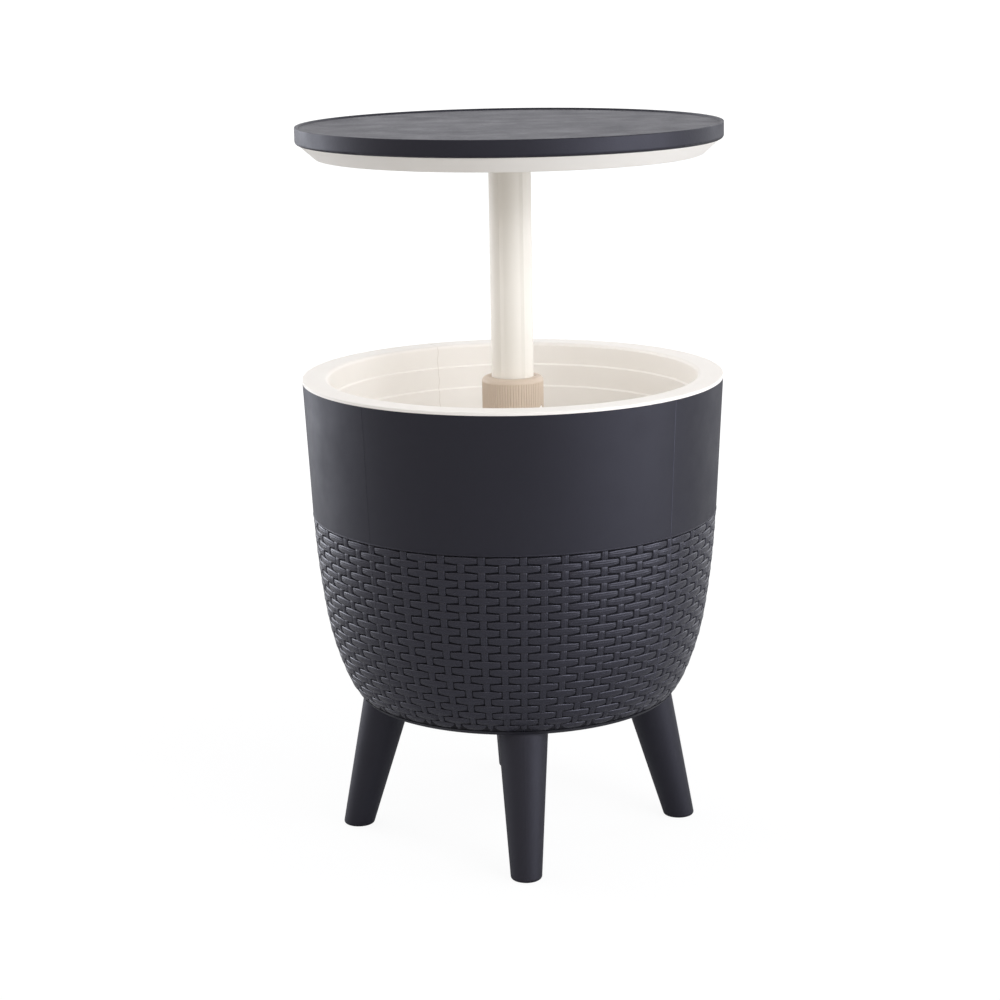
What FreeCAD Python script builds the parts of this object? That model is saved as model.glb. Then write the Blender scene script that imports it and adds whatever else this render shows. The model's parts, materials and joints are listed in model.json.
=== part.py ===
import FreeCAD, Part
import math
import os
import Sketcher
from types import SimpleNamespace

# Cooler table: a double-walled round tub on four splayed legs, with a table top
# that is also its lid. The top rises on a keyed mast out of a column in the tub,
# and a twist collar on the column clamps the mast.
# Frame: millimetres, +Z up, origin on the floor under the middle of the tub,
# the legs on the X and Y axes. The top is drawn raised.

sizes = {
    # tub outside
    "bowlBaseHeight": 170.3,    # underside of the bowl above the floor
    "bowlDepth": 223.3,         # from the underside up to the foot of the smooth band
    "bandDepth": 163.4,         # from there up to the top of the rim
    "rimRadius": 248.2,
    "lipDepth": 3.6,            # white edge that shows above the dark shell
    "bandDraft": 2.76,          # lean of the side, degrees: the band,
    "upperTurn": 9.2,           # the joints of its three arcs
    "lowerTurn": 23.25,
    "baseTurn": 43.7303,        # and the underside
    "middleSweep": 337.5,       # radii of the two lower arcs
    "lowerSweep": 88.6,
    "shellWall": 3.5,
    "weaveRelief": 2.6,         # the woven field's ground lies this far in
    "strandRowCount": 23,       # rows of level strands, rounded, on that ground
    "strandStart": 0.9,         # the first begins this far under the band
    "strandRowGrowth": 0.0443,  # each row is this much deeper than the one above
    "strandRoundness": 1.0,     # radius of a row's section over its depth
    "baseRimDepth": 5.0,        # plain rim under the woven field
    "baseEdgeRound": 2.0,
    # tub inside
    "rimWidth": 30.0,
    "rimInnerRound": 4.0,
    "rimOuterRound": 1.2,
    "tubFloorRise": 41.7,       # floor inside the tub, above the bowl's underside
    "tubWall": 3.0,
    "stepSize": 1.8,            # each moulded step in the tub's wall
    "firstStepDrop": 26.4,      # below the rim
    "secondStepDrop": 53.9,
    "waistInset": 39.2,         # inner wall where its lower taper begins, in from the rim's edge
    "waistDrop": 235.0,
    "footInset": 57.2,          # inner wall above its corner with the floor
    "tubCornerRound": 20.0,
    "locatingRingDepth": 14.0,  # ring under the rim that enters the shell
    "locatingRingWall": 2.5,
    "seatClearance": 0.3,
    # posts and screws between tub and shell
    "postCount": 4,
    "postInset": 41.0,          # in from the foot of the tub's wall
    "postRadius": 9.0,
    "postTurn": 45.0,           # degrees from the leg axes
    "postBossDepth": 12.0,
    "postBossRadius": 7.0,
    "tubScrewRadius": 2.4,
    "tubScrewHead": 4.6,
    "tubScrewHeadHeight": 3.0,
    "tubScrewGrip": 8.0,        # length held in the tub's boss
    "tubScrewSeat": 14.0,       # depth of the head's seat above the underside
    "screwPlay": 0.3,
    # legs
    "legFootInset": 50.4,       # axes of the feet, in from the rim's edge
    "legSplay": 13.94,
    "legTopRadius": 29.5,
    "legFootRadius": 18.1,
    "legWall": 3.2,
    "legSoleThickness": 9.0,
    "legSoleRound": 3.5,
    "insertDepth": 14.0,
    "studRadius": 15.0,
    "studLength": 20.0,         # beyond the bowl's underside, along the leg
    "studChamfer": 1.5,
    "socketWall": 3.4,
    "socketRoof": 3.0,
    "fitGap": 0.1,
    # column and its collar
    "columnWall": 2.5,
    "columnTopDrop": 20.6,      # below the rim
    "columnFlangeWidth": 23.0,
    "columnFlangeThickness": 4.0,
    "columnScrewCount": 4,
    "columnScrewOffset": 14.0,  # from the column's side
    "columnScrewRadius": 2.0,
    "columnScrewLength": 10.0,
    "columnBossDepth": 12.0,
    "columnBossRadius": 5.5,
    "beadHeight": 1.0,
    "beadWidth": 4.0,
    "beadDrop": 14.0,           # below the column's top
    "bushWall": 3.75,           # between mast and column
    "bushFlange": 2.0,
    "bushDepth": 38.0,
    "runningGap": 0.1,
    "clampRingHeight": 10.0,
    "clampRingTopWall": 2.6,
    "clampRingBottomWall": 5.2,
    "clampSlot": 3.0,
    "collarWall": 5.3,
    "collarTopDrop": 3.5,       # below the rim
    "collarShoulderDrop": 5.0,  # the sloping top, inner edge to shoulder
    "collarSlopeWidth": 4.8,    # the sloping part of the top
    "collarCrown": 1.1,         # radius of the sloping top over its drop
    "collarHeight": 42.0,
    "collarRibCount": 70,
    "collarRibDepth": 0.55,
    "collarRibWidth": 1.9,
    "collarRibFlare": 1.4,      # mouth of a flute over its floor, either side
    "collarRibStart": 3.0,      # above the collar's lower edge
    "collarNotchHalf": 12.0,
    "collarNotchHeight": 10.0,
    "collarNotchTurn": 65.0,    # degrees from the front leg's axis
    "collarKeyOffset": 1.45,    # half-round key slots, centred this far off the mast
    "collarKeyRadius": 2.2,
    "collarPlay": 0.3,
    # mast
    "mastRadius": 24.75,
    "mastWall": 3.0,
    "mastStopGap": 0.3,         # between shoe and bush, raised
    "keywayDepth": 1.2,
    "keywayFloorAngle": 24.5,   # half angle of the keyway's floor, degrees
    "keywayEdgeAngle": 34.5,
    "keywayCount": 2,
    "keyPlay": 0.25,
    "keyPlayAngle": 2.0,        # either side of a tongue in its keyway
    "footCollarDepth": 22.0,
    "footFloor": 4.0,
    "headSocketDepth": 20.0,
    "headSocketWall": 3.5,
    "headFlangeWidth": 35.25,
    "headFlangeThickness": 5.0,
    "mastScrewCount": 4,
    "mastScrewOffset": 19.25,   # from the mast's side
    "mastScrewRadius": 2.2,
    "mastScrewHead": 4.4,
    "mastScrewHeadHeight": 2.4,
    "mastPilotSkin": 1.0,       # left over the screws in the socket's flange
    # table top and its pan
    "topHeight": 850.0,
    "topInset": 0.7,            # in from the rim's edge
    "topEdgeDepth": 19.5,       # height of the dark edge band
    "topLipWidth": 3.4,
    "topLipHeight": 2.0,
    "topPlate": 3.0,
    "topSkirtWall": 4.0,
    "topEdgeRound": 4.0,
    "topUpperRound": 0.8,
    "topRibCount": 12,
    "topRibWidth": 2.2,
    "topRibDepth": 9.0,
    "topRibStart": 66.0,
    "panDrop": 36.5,            # flat underside of the pan, below the top
    "panInset": 22.8,           # edge of the flat underside, in from the top's edge
    "panWall": 3.0,
    "panBeadDepth": 1.8,        # small bead under the dark band
    "panBeadWidth": 1.4,
    "panRimHeight": 11.0,
    "panRimGap": 0.3,
    "panEdgeRound": 3.0,
    "lidScrewCount": 6,
    "lidScrewInset": 19.7,      # in from the edge of the flat underside
    "lidScrewRadius": 2.0,
    "lidScrewHead": 4.2,
    "lidScrewHeadHeight": 2.2,
    "lidScrewLength": 12.0,
    "lidBossRadius": 5.0,
    # drain
    "drainCircle": 95.0,
    "drainTurn": 135.0,
    "drainTubeRadius": 11.0,
    "drainBore": 7.5,
    "drainFlangeRadius": 18.0,
    "drainFlangeThickness": 2.5,
    "drainGasketThickness": 1.5,
    "drainGasketInset": 1.0,
    "drainNutAcross": 32.0,     # across the flats
    "drainNutHeight": 7.0,
    "drainTubeDrop": 14.0,      # below the bowl's underside
    "capRadius": 15.0,
    "capDepth": 11.0,
    "capFloor": 2.5,
    "capRibCount": 12,
    "capRibRadius": 1.2,
    "washerThickness": 1.5,
}

doc = FreeCAD.newDocument("CoolerTable")
sheet = doc.addObject("Spreadsheet::Sheet", "Sizes")
for row, (name, value) in enumerate(sizes.items(), start=1):
    sheet.set(f"A{row}", name)
    sheet.set(f"B{row}", str(value))
    sheet.setAlias(f"B{row}", name)
doc.recompute()


class Size:
    """A number and the expression that works it out from the sheet."""

    def __init__(self, value, text=None):
        self.value = value
        self.text = text or repr(value)

    def joined(self, sign, other, value):
        return Size(value, f"({self.text} {sign} {other.text})")

    def __add__(self, other):
        other = asSize(other)
        return self.joined("+", other, self.value + other.value)

    def __sub__(self, other):
        other = asSize(other)
        return self.joined("-", other, self.value - other.value)

    def __mul__(self, other):
        other = asSize(other)
        return self.joined("*", other, self.value * other.value)

    def __truediv__(self, other):
        other = asSize(other)
        return self.joined("/", other, self.value / other.value)


def asSize(number):
    return number if isinstance(number, Size) else Size(float(number), repr(float(number)))


def sine(angle):
    return Size(math.sin(math.radians(angle.value)), f"sin({angle.text} * 1 deg)")


def cosine(angle):
    return Size(math.cos(math.radians(angle.value)), f"cos({angle.text} * 1 deg)")


def tangent(angle):
    return Size(math.tan(math.radians(angle.value)), f"tan({angle.text} * 1 deg)")


def arcsine(ratio):
    return Size(math.degrees(math.asin(ratio.value)), f"(asin({ratio.text}) / 1 deg)")


def root(number):
    return Size(math.sqrt(number.value), f"sqrt({number.text})")


at = SimpleNamespace(**{name: Size(float(value), f"Sizes.{name}") for name, value in sizes.items()})
zero = Size(0.0, "0")
degree = math.pi / 180


# Building blocks

def newBody(name, height=zero, turned=0):
    """A body whose own frame stands at a height on the table's axis."""
    body = doc.addObject("PartDesign::Body", name)
    body.Label = name
    body.AllowCompound = True
    turn = FreeCAD.Rotation(FreeCAD.Vector(0, 0, 1), turned)
    body.Placement = FreeCAD.Placement(FreeCAD.Vector(0, 0, height.value), turn)
    if height is not zero:
        body.setExpression(".Placement.Base.z", height.text)
    return body


def originFeature(body, role):
    return [feature for feature in body.Origin.OriginFeatures if feature.Role == role][0]


def newSketch(body, name, plane, shift=(0, 0, 0), tilt=0, spin=0):
    """Sketch on one of the body's planes, tilted in that plane or spun about its upright axis."""
    sketch = body.newObject("Sketcher::SketchObject", name)
    sketch.AttachmentSupport = [(originFeature(body, plane), "")]
    sketch.MapMode = "FlatFace"
    shift = [asSize(part) for part in shift]
    angle = asSize(spin) if spin else asSize(tilt)
    axis = FreeCAD.Vector(0, 1, 0) if spin else FreeCAD.Vector(0, 0, 1)
    base = FreeCAD.Vector(*[part.value for part in shift])
    turn = FreeCAD.Rotation(axis, angle.value)
    sketch.AttachmentOffset = FreeCAD.Placement(base, turn)
    for axis, part in zip("xyz", shift):
        if part.value:
            sketch.setExpression(f".AttachmentOffset.Base.{axis}", part.text)
    if angle.value:
        sketch.setExpression(".AttachmentOffset.Rotation.Angle", angle.text)
    return sketch


def sideOf(start, end, radius):
    """Arc from start to end; a positive radius has its centre on the left."""
    middle = (start + end) * 0.5
    along = end - start
    half = along.Length / 2
    reach = math.sqrt(max(radius * radius - half * half, 0.0))
    left = FreeCAD.Vector(-along.y, along.x, 0).normalize()
    centre = middle + left * (reach if radius > 0 else -reach)
    first, last = (start, end) if radius > 0 else (end, start)
    angles = [math.atan2(p.y - centre.y, p.x - centre.x) for p in (first, last)]
    circle = Part.Circle(centre, FreeCAD.Vector(0, 0, 1), abs(radius))
    return Part.ArcOfCircle(circle, *angles)


def drawOutline(sketch, points):
    """Closed outline. A third value on a point is the radius of the arc that reaches it."""
    corners = [(asSize(point[0]), asSize(point[1])) for point in points]
    places = [FreeCAD.Vector(x.value, y.value, 0) for x, y in corners]
    count = len(points)
    first = sketch.GeometryCount
    ends = []
    sides = []
    for index in range(count):
        following = (index + 1) % count
        bend = asSize(points[following][2]) if len(points[following]) > 2 else None
        if bend is None:
            sides.append(Part.LineSegment(places[index], places[following]))
            ends.append((1, 2))
        else:
            sides.append(sideOf(places[index], places[following], bend.value))
            ends.append((1, 2) if bend.value > 0 else (2, 1))
    sketch.addGeometry(sides, False)
    rules = []
    bound = []
    for index, (x, y) in enumerate(corners):
        here = first + index
        before = first + (index - 1) % count
        start = ends[index][0]
        rules.append(Sketcher.Constraint("Coincident", before, ends[index - 1][1], here, start))
        for kind, axis, size in (("DistanceX", -2, x), ("DistanceY", -1, y)):
            if size.text in ("0", "0.0"):
                rules.append(Sketcher.Constraint("PointOnObject", here, start, axis))
            else:
                rules.append(Sketcher.Constraint(kind, here, start, size.value))
                bound.append((len(rules) - 1, size.text))
        if len(points[index]) > 2:
            bend = asSize(points[index][2])
            rules.append(Sketcher.Constraint("Radius", before, abs(bend.value)))
            text = bend.text if bend.value > 0 else f"-({bend.text})"
            bound.append((len(rules) - 1, text))
    offset = sketch.ConstraintCount
    sketch.addConstraint(rules)
    for number, text in bound:
        sketch.setExpression(f"Constraints[{offset + number}]", text)


def drawCircle(sketch, x, y, radius):
    x, y, radius = asSize(x), asSize(y), asSize(radius)
    here = sketch.GeometryCount
    centre = FreeCAD.Vector(x.value, y.value, 0)
    sketch.addGeometry(Part.Circle(centre, FreeCAD.Vector(0, 0, 1), radius.value), False)
    number = sketch.addConstraint(Sketcher.Constraint("Radius", here, radius.value))
    sketch.setExpression(f"Constraints[{number}]", radius.text)
    for kind, axis, size in (("DistanceX", -2, x), ("DistanceY", -1, y)):
        if size.text in ("0", "0.0"):
            sketch.addConstraint(Sketcher.Constraint("PointOnObject", here, 3, axis))
        else:
            number = sketch.addConstraint(Sketcher.Constraint(kind, here, 3, size.value))
            sketch.setExpression(f"Constraints[{number}]", size.text)


def revolve(body, name, points, cut=False, shift=(0, 0, 0), tilt=0):
    """Outline of (radius, height) points turned round the sketch's upright axis."""
    sketch = newSketch(body, name + "Outline", "XZ_Plane", shift, tilt)
    drawOutline(sketch, points)
    feature = body.newObject("PartDesign::Groove" if cut else "PartDesign::Revolution", name)
    feature.Profile = sketch
    feature.ReferenceAxis = (sketch, ["V_Axis"])
    feature.Angle = 360
    body.Tip = feature
    return feature


def extrude(body, name, length, points=None, circles=(), cut=False, shift=(0, 0, 0), up=True):
    """Plan outline or circles, padded or pocketed from the height in shift."""
    sketch = newSketch(body, name + "Outline", "XY_Plane", shift)
    if points:
        drawOutline(sketch, points)
    for circle in circles:
        drawCircle(sketch, *circle)
    feature = body.newObject("PartDesign::Pocket" if cut else "PartDesign::Pad", name)
    feature.Profile = sketch
    feature.Length = length.value
    feature.setExpression("Length", length.text)
    feature.Reversed = up if cut else not up
    body.Tip = feature
    return feature


def ring(body, name, features, count):
    """Copies of the features round the body's upright axis."""
    pattern = body.newObject("PartDesign::PolarPattern", name)
    pattern.Originals = features
    pattern.Axis = (originFeature(body, "Z_Axis"), [""])
    pattern.Angle = 360
    count = asSize(count)
    pattern.Occurrences = int(count.value)
    if count.text.startswith("Sizes"):
        pattern.setExpression("Occurrences", count.text)
    body.Tip = pattern
    return pattern


def roundEdges(body, name, radius, circles):
    """Fillet on the circular edges at the given (radius, height) places."""
    doc.recompute()
    base = body.Tip
    found = []
    for number, edge in enumerate(base.Shape.Edges, start=1):
        if not isinstance(edge.Curve, Part.Circle):
            continue
        centre = edge.Curve.Center
        for across, height in circles:
            near = abs(edge.Curve.Radius - across.value) < 0.02 and abs(centre.z - height.value) < 0.02
            if near and math.hypot(centre.x, centre.y) < 0.02:
                found.append(f"Edge{number}")
    fillet = body.newObject("PartDesign::Fillet", name)
    fillet.Base = (base, found)
    fillet.Radius = radius.value
    fillet.setExpression("Radius", radius.text)
    body.Tip = fillet
    return fillet


def box(across, bottom, top, inner=zero):
    """Outline of a plain ring or disc, for revolve."""
    return [(inner, bottom), (across, bottom), (across, top), (inner, top)]


def around(circle, angle, height=zero):
    """Place on an upright sketch for a point at an angle round the axis."""
    return (circle * cosine(angle), height, zero - circle * sine(angle))


# Heights and radii that several pieces share

bandFootHeight = at.bowlBaseHeight + at.bowlDepth
rimHeight = bandFootHeight + at.bandDepth
shellTop = rimHeight - at.lipDepth
bandFootRadius = at.rimRadius - at.bandDepth * tangent(at.bandDraft)
shellMouth = bandFootRadius + (shellTop - bandFootHeight) * tangent(at.bandDraft)
shellBore = shellMouth - at.shellWall / cosine(at.bandDraft)
middleDepth = at.middleSweep * (sine(at.lowerTurn) - sine(at.upperTurn))
lowerDepth = at.lowerSweep * (sine(at.baseTurn) - sine(at.lowerTurn))
upperDepth = at.bowlDepth - middleDepth - lowerDepth
upperSweep = upperDepth / (sine(at.upperTurn) - sine(at.bandDraft))
rimOpening = at.rimRadius - at.rimWidth
tubWaist = at.rimRadius - at.waistInset
tubFoot = at.rimRadius - at.footInset
tubFloor = at.bowlBaseHeight + at.tubFloorRise
postTop = tubFloor - at.tubWall - at.postBossDepth
postCircle = tubFoot - at.postInset
legFootCircle = at.rimRadius - at.legFootInset
legLean = cosine(at.legSplay)
legTopAlong = at.bowlBaseHeight / legLean
legTaper = (at.legTopRadius - at.legFootRadius) / legTopAlong
columnBore = at.mastRadius + at.bushWall
columnRadius = columnBore + at.columnWall
columnFlange = columnRadius + at.columnFlangeWidth
columnScrewCircle = columnRadius + at.columnScrewOffset
columnTop = rimHeight - at.columnTopDrop
collarRadius = columnRadius + at.collarWall
collarTop = rimHeight - at.collarTopDrop
collarBottom = collarTop - at.collarHeight
headFlange = at.mastRadius + at.headFlangeWidth
mastScrewCircle = at.mastRadius + at.mastScrewOffset
topRadius = at.rimRadius - at.topInset
panRadius = topRadius - at.panInset
panHeight = at.topHeight - at.panDrop
bandBottom = at.topHeight - at.topEdgeDepth
lidScrewCircle = panRadius - at.lidScrewInset
mastBottom = columnTop - at.bushDepth - at.footCollarDepth - at.mastStopGap
mastTop = panHeight + at.panWall + at.headSocketDepth
legNames = ("leg_right", "leg_back", "leg_left", "leg_front")


def bowlArcs():
    """The three arcs of the bowl's side, from the band down: radius, first lean and centre."""
    radii = (upperSweep, at.middleSweep, at.lowerSweep)
    leans = (at.bandDraft, at.upperTurn, at.lowerTurn)
    across = bandFootRadius - upperSweep * cosine(at.bandDraft)
    height = bandFootHeight + upperSweep * sine(at.bandDraft)
    arcs = []
    for number, (radius, lean) in enumerate(zip(radii, leans)):
        if number:
            drop = radii[number - 1] - radius
            across = across + drop * cosine(lean)
            height = height - drop * sine(lean)
        arcs.append((radius, lean, across, height))
    return arcs


def bowlSide(inset):
    """The upper end of each arc, moved in by inset."""
    return [(across + (radius - inset) * cosine(lean), height - (radius - inset) * sine(lean))
            for radius, lean, across, height in bowlArcs()]


def bowlFoot(inset, height):
    """Radius of the bowl's lowest arc at a height."""
    radius, _, across, centre = bowlArcs()[2]
    rise = centre - height
    reach = radius - inset
    return across + root(reach * reach - rise * rise)


def strandBounds(bottom):
    """Bounds between the rows of strands, from under the band down to the plain rim's top.
    Each is a place on the woven field's ground and the depth of the row above it."""
    arcs = bowlArcs()
    footTurn = arcsine((arcs[2][3] - bottom) / arcs[2][0])
    turns = [following - arc[1] for arc, following in zip(arcs, (at.upperTurn, at.lowerTurn, footTurn))]
    lengths = [arc[0] * turn * degree for arc, turn in zip(arcs, turns)]
    count = int(at.strandRowCount.value)
    growth = at.strandRowGrowth
    room = lengths[0] + lengths[1] + lengths[2] - at.strandStart
    first = (room - growth * (count * (count - 1) / 2)) / count
    bounds = []
    for number in range(count + 1):
        along = at.strandStart + first * number + growth * (number * (number - 1) / 2)
        part = 0
        while part < 2 and along.value > lengths[part].value:
            along = along - lengths[part]
            part += 1
        radius, lean, across, height = arcs[part]
        lean = lean + along / radius / degree
        reach = radius - at.weaveRelief
        place = (across + reach * cosine(lean), height - reach * sine(lean))
        bounds.append((place, first + growth * (number - 1)))
    return bounds


# The tub

def outerShell():
    body = newBody("outer_shell", at.bowlBaseHeight)
    floor = at.bowlBaseHeight
    wall = at.shellWall
    relief = at.weaveRelief
    thick = wall + relief
    inside = bowlSide(thick)
    rimTop = floor + at.baseRimDepth
    bandInside = bandFootRadius + relief * tangent(at.bandDraft) - wall / cosine(at.bandDraft)

    def local(point, bend=None):
        place = (point[0], point[1] - floor)
        return place if bend is None else place + (bend,)

    bounds = strandBounds(rimTop)
    strands = [local(upper[0], lower[1] * at.strandRoundness)
               for upper, lower in reversed(list(zip(bounds, bounds[1:])))]

    revolve(body, "bowl", [
        (zero, zero),
        (bowlFoot(zero, floor), zero),
        (bowlFoot(zero, rimTop), at.baseRimDepth, at.lowerSweep),
        (bounds[-1][0][0], at.baseRimDepth),
    ] + strands + [
        (bounds[0][0][0], bandFootHeight - floor),
        (bandFootRadius, bandFootHeight - floor),
        (shellMouth, shellTop - floor),
        (shellBore, shellTop - floor),
        (bandInside, bandFootHeight + relief - floor),
        local(inside[0]),
        local(inside[1], thick - upperSweep),
        local(inside[2], thick - at.middleSweep),
        (bowlFoot(thick, floor + wall), wall, thick - at.lowerSweep),
        (zero, wall),
    ])
    roundEdges(body, "baseEdge", at.baseEdgeRound, [(bowlFoot(zero, floor), zero)])

    # leaning sockets for the legs' studs and upright posts for the tub screws
    footPlace = (legFootCircle, zero - floor, zero)
    socketBore = at.studRadius + at.fitGap
    socketTop = legTopAlong + at.studLength + at.fitGap * 10
    socketStart = legTopAlong - at.studRadius * sine(at.legSplay) * 2
    boss = revolve(body, "legSocket",
                   box(socketBore + at.socketWall, socketStart, socketTop + at.socketRoof),
                   shift=footPlace, tilt=at.legSplay)
    ring(body, "legSockets", [boss], len(legNames))
    postPlace = around(postCircle, at.postTurn)
    post = revolve(body, "screwPost", box(at.postRadius, wall / 2, postTop - floor), shift=postPlace)
    ring(body, "screwPosts", [post], at.postCount)
    extrude(body, "flushUnderside", legFootCircle, cut=True, up=False,
            circles=[(zero, zero, at.rimRadius)])
    bore = revolve(body, "socketBore", box(socketBore, socketStart - at.studLength, socketTop),
                   cut=True, shift=footPlace, tilt=at.legSplay)
    ring(body, "socketBores", [bore], len(legNames))
    shank = at.tubScrewRadius + at.screwPlay
    head = at.tubScrewHead + at.screwPlay
    seat = revolve(body, "postBore", [
        (zero, zero - wall),
        (head, zero - wall),
        (head, at.tubScrewSeat),
        (shank, at.tubScrewSeat),
        (shank, postTop - floor + wall),
        (zero, postTop - floor + wall),
    ], cut=True, shift=postPlace)
    ring(body, "postBores", [seat], at.postCount)
    drainPlace = (at.drainCircle * cosine(at.drainTurn), at.drainCircle * sine(at.drainTurn))
    extrude(body, "drainHole", wall * 3, cut=True, shift=(0, 0, zero - wall),
            circles=[(*drainPlace, at.drainTubeRadius + at.seatClearance)])
    return body


def innerTub():
    body = newBody("inner_tub", tubFloor)
    rim = rimHeight - tubFloor
    wall = at.tubWall
    corner = at.tubCornerRound
    firstStep = rim - at.firstStepDrop
    secondStep = rim - at.secondStepDrop
    waist = rim - at.waistDrop
    second = rimOpening - at.stepSize
    third = second - at.stepSize
    ringOut = shellBore - at.locatingRingDepth * tangent(at.bandDraft) - at.seatClearance
    underLip = rim - at.lipDepth
    revolve(body, "liner", [
        (zero, zero),
        (tubFoot - corner, zero),
        (tubFoot, corner, corner),
        (tubWaist, waist),
        (third, secondStep - at.stepSize),
        (second, secondStep),
        (second, firstStep - at.stepSize),
        (rimOpening, firstStep),
        (rimOpening, rim - at.rimInnerRound),
        (rimOpening + at.rimInnerRound, rim, zero - at.rimInnerRound),
        (at.rimRadius - at.rimOuterRound, rim),
        (at.rimRadius, rim - at.rimOuterRound, zero - at.rimOuterRound),
        (at.rimRadius, underLip),
        (ringOut, underLip),
        (ringOut, underLip - at.locatingRingDepth),
        (ringOut - at.locatingRingWall, underLip - at.locatingRingDepth),
        (ringOut - at.locatingRingWall, underLip),
        (rimOpening + wall, underLip),
        (rimOpening + wall, firstStep),
        (second + wall, firstStep - at.stepSize),
        (second + wall, secondStep),
        (third + wall, secondStep - at.stepSize),
        (tubWaist + wall, waist),
        (tubFoot + wall, corner),
        (tubFoot - corner, zero - wall, zero - corner - wall),
        (zero, zero - wall),
    ])

    # blind bosses under the floor take the screws of the shell and of the column
    sunk = zero - wall - at.postBossDepth
    postPlace = around(postCircle, at.postTurn)
    columnPlace = around(columnScrewCircle, at.postTurn)
    post = revolve(body, "postBoss", box(at.postBossRadius, sunk, zero - wall / 2), shift=postPlace)
    ring(body, "postBosses", [post], at.postCount)
    hold = revolve(body, "columnBoss",
                   box(at.columnBossRadius, zero - at.columnBossDepth, zero - wall / 2), shift=columnPlace)
    ring(body, "columnBosses", [hold], at.columnScrewCount)
    pilot = revolve(body, "postPilot",
                    box(at.tubScrewRadius, sunk - wall, sunk + at.tubScrewGrip), cut=True, shift=postPlace)
    ring(body, "postPilots", [pilot], at.postCount)
    columnGrip = at.columnScrewLength - at.columnFlangeThickness
    hole = revolve(body, "columnPilot",
                   box(at.columnScrewRadius, zero - columnGrip, wall), cut=True, shift=columnPlace)
    ring(body, "columnPilots", [hole], at.columnScrewCount)
    drainPlace = (at.drainCircle * cosine(at.drainTurn), at.drainCircle * sine(at.drainTurn))
    extrude(body, "drainHole", wall * 3, cut=True, shift=(0, 0, zero - wall * 2),
            circles=[(*drainPlace, at.drainTubeRadius + at.seatClearance)])
    return body


def screwOutline(shank, head, headHeight, length, underHead=zero):
    """Pan-head screw standing on its head, point up."""
    edge = headHeight / 4
    return [
        (zero, underHead - headHeight),
        (head - edge, underHead - headHeight),
        (head, underHead - headHeight + edge),
        (head, underHead),
        (shank, underHead),
        (shank, underHead + length - shank),
        (shank / 3, underHead + length),
        (zero, underHead + length),
    ]


def tubScrews():
    body = newBody("tub_screws", at.bowlBaseHeight + at.tubScrewSeat)
    length = postTop - at.bowlBaseHeight - at.tubScrewSeat + at.tubScrewGrip
    screw = revolve(body, "screw",
                    screwOutline(at.tubScrewRadius, at.tubScrewHead, at.tubScrewHeadHeight, length),
                    shift=around(postCircle, at.postTurn))
    ring(body, "screws", [screw], at.postCount)
    return body


# The legs

def leg(place, name):
    """Hollow tapered leg, drawn along its leaning axis and cut level at both ends."""
    body = newBody(name, turned=360 / len(legNames) * place)
    past = at.legTopRadius
    low = zero - past
    high = legTopAlong + past

    def radius(along):
        return at.legFootRadius + along * legTaper

    foot = (legFootCircle, zero, zero)
    revolve(body, "taper", [(zero, low), (radius(low), low), (radius(high), high), (zero, high)],
            shift=foot, tilt=at.legSplay)
    extrude(body, "sole", at.legTopRadius * 3, cut=True, up=False,
            circles=[(legFootCircle, zero, at.legTopRadius * 3)])
    extrude(body, "seat", at.legTopRadius * 3, cut=True, shift=(0, 0, at.bowlBaseHeight),
            circles=[(legFootCircle, zero, at.legTopRadius * 4)])
    doc.recompute()
    base = body.Tip
    rims = [f"Edge{number}" for number, edge in enumerate(base.Shape.Edges, start=1)
            if edge.BoundBox.ZMax < 0.01]
    fillet = body.newObject("PartDesign::Fillet", "soleEdge")
    fillet.Base = (base, rims)
    fillet.Radius = at.legSoleRound.value
    fillet.setExpression("Radius", at.legSoleRound.text)
    body.Tip = fillet
    start = at.legSoleThickness
    revolve(body, "hollow", [
        (zero, start),
        (radius(start) - at.legWall, start),
        (radius(high) - at.legWall, high),
        (zero, high),
    ], cut=True, shift=foot, tilt=at.legSplay)
    return body


def legInserts():
    """Plugs in the tops of the legs, each with the stud that screws into the bowl."""
    body = newBody("leg_inserts")
    low = legTopAlong - at.insertDepth
    high = legTopAlong + at.legTopRadius

    def radius(along):
        return at.legFootRadius + along * legTaper - at.legWall

    place = (legFootCircle, zero, zero)
    plug = revolve(body, "plug", [(zero, low), (radius(low), low), (radius(high), high), (zero, high)],
                   shift=place, tilt=at.legSplay)
    trim = extrude(body, "plugTop", at.legTopRadius * 3, cut=True, shift=(0, 0, at.bowlBaseHeight),
                   circles=[(legFootCircle, zero, at.legTopRadius * 4)])
    tip = legTopAlong + at.studLength
    stud = revolve(body, "stud", [
        (zero, low + at.studChamfer),
        (at.studRadius, low + at.studChamfer),
        (at.studRadius, tip - at.studChamfer),
        (at.studRadius - at.studChamfer, tip),
        (zero, tip),
    ], shift=place, tilt=at.legSplay)
    ring(body, "inserts", [plug, trim, stud], len(legNames))
    return body


# The column, its bush, the clamp ring and the twist collar

def guideColumn():
    body = newBody("guide_column", tubFloor)
    height = columnTop - tubFloor
    bead = height - at.beadDrop
    half = at.beadWidth / 2
    revolve(body, "tube", [
        (columnBore, zero),
        (columnFlange, zero),
        (columnFlange, at.columnFlangeThickness),
        (columnRadius, at.columnFlangeThickness),
        (columnRadius, bead - half),
        (columnRadius + at.beadHeight, bead - at.beadHeight / 2),
        (columnRadius + at.beadHeight, bead + at.beadHeight / 2),
        (columnRadius, bead + half),
        (columnRadius, height),
        (columnBore, height),
    ])
    roundEdges(body, "flangeRoot", at.columnFlangeThickness,
               [(columnRadius, at.columnFlangeThickness)])
    hole = revolve(body, "screwHole",
                   box(at.columnScrewRadius + at.screwPlay, zero - at.columnWall,
                       at.columnFlangeThickness * 2),
                   cut=True, shift=around(columnScrewCircle, at.postTurn))
    ring(body, "screwHoles", [hole], at.columnScrewCount)
    return body


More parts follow.
